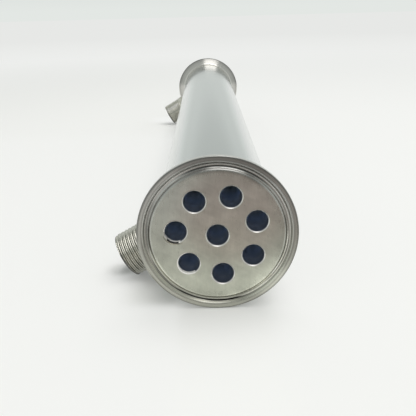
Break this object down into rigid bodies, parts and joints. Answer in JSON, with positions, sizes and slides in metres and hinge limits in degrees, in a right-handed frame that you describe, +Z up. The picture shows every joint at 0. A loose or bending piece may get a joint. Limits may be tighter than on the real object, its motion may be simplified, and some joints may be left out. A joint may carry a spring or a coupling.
{
  "type": "reflux condenser",
  "caption": "Straight shell-and-tube reflux condenser with clamp ferrules on both ends, open vapour tubes and two threaded coolant ports on one side.",
  "frame": {"origin": "centre of the front gasket face, on the shell's axis", "axes": "+Y along the shell's axis towards the rear face, +Z up as the part lies on its two flange rims and the tips of its ports, ports towards -X and down"},
  "size_m": [0.0784, 0.45, 0.064],
  "materials": {
    "shell": "mirror-polished stainless steel",
    "ferrule": "polished stainless steel, turned on the flange's edge",
    "tube_sheet": "straight-brushed stainless steel",
    "tube": "drawn stainless steel tube, ground flush at its ends",
    "port": "machined stainless steel",
    "port_weld": "as-welded stainless bead, slightly heat-tinted",
    "seam_weld": "polished stainless weld",
    "face_weld": "stainless weld ground flush and brushed with the face"
  },
  "bodies": {
    "root": {"shell": "shell", "front_ferrule": "ferrule", "rear_ferrule": "ferrule", "front_tube_sheet": "tube_sheet", "rear_tube_sheet": "tube_sheet", "front_port": "port", "rear_port": "port", "center_tube": "tube", "ring_tube_1": "tube", "ring_tube_2": "tube", "ring_tube_3": "tube", "ring_tube_4": "tube", "ring_tube_5": "tube", "ring_tube_6": "tube", "ring_tube_7": "tube", "front_seam_weld": "seam_weld", "rear_seam_weld": "seam_weld", "front_port_weld": "port_weld", "rear_port_weld": "port_weld", "front_sheet_weld": "face_weld", "rear_sheet_weld": "face_weld", "front_tube_welds": "face_weld", "rear_tube_welds": "face_weld"}
  },
  "joints": []
}
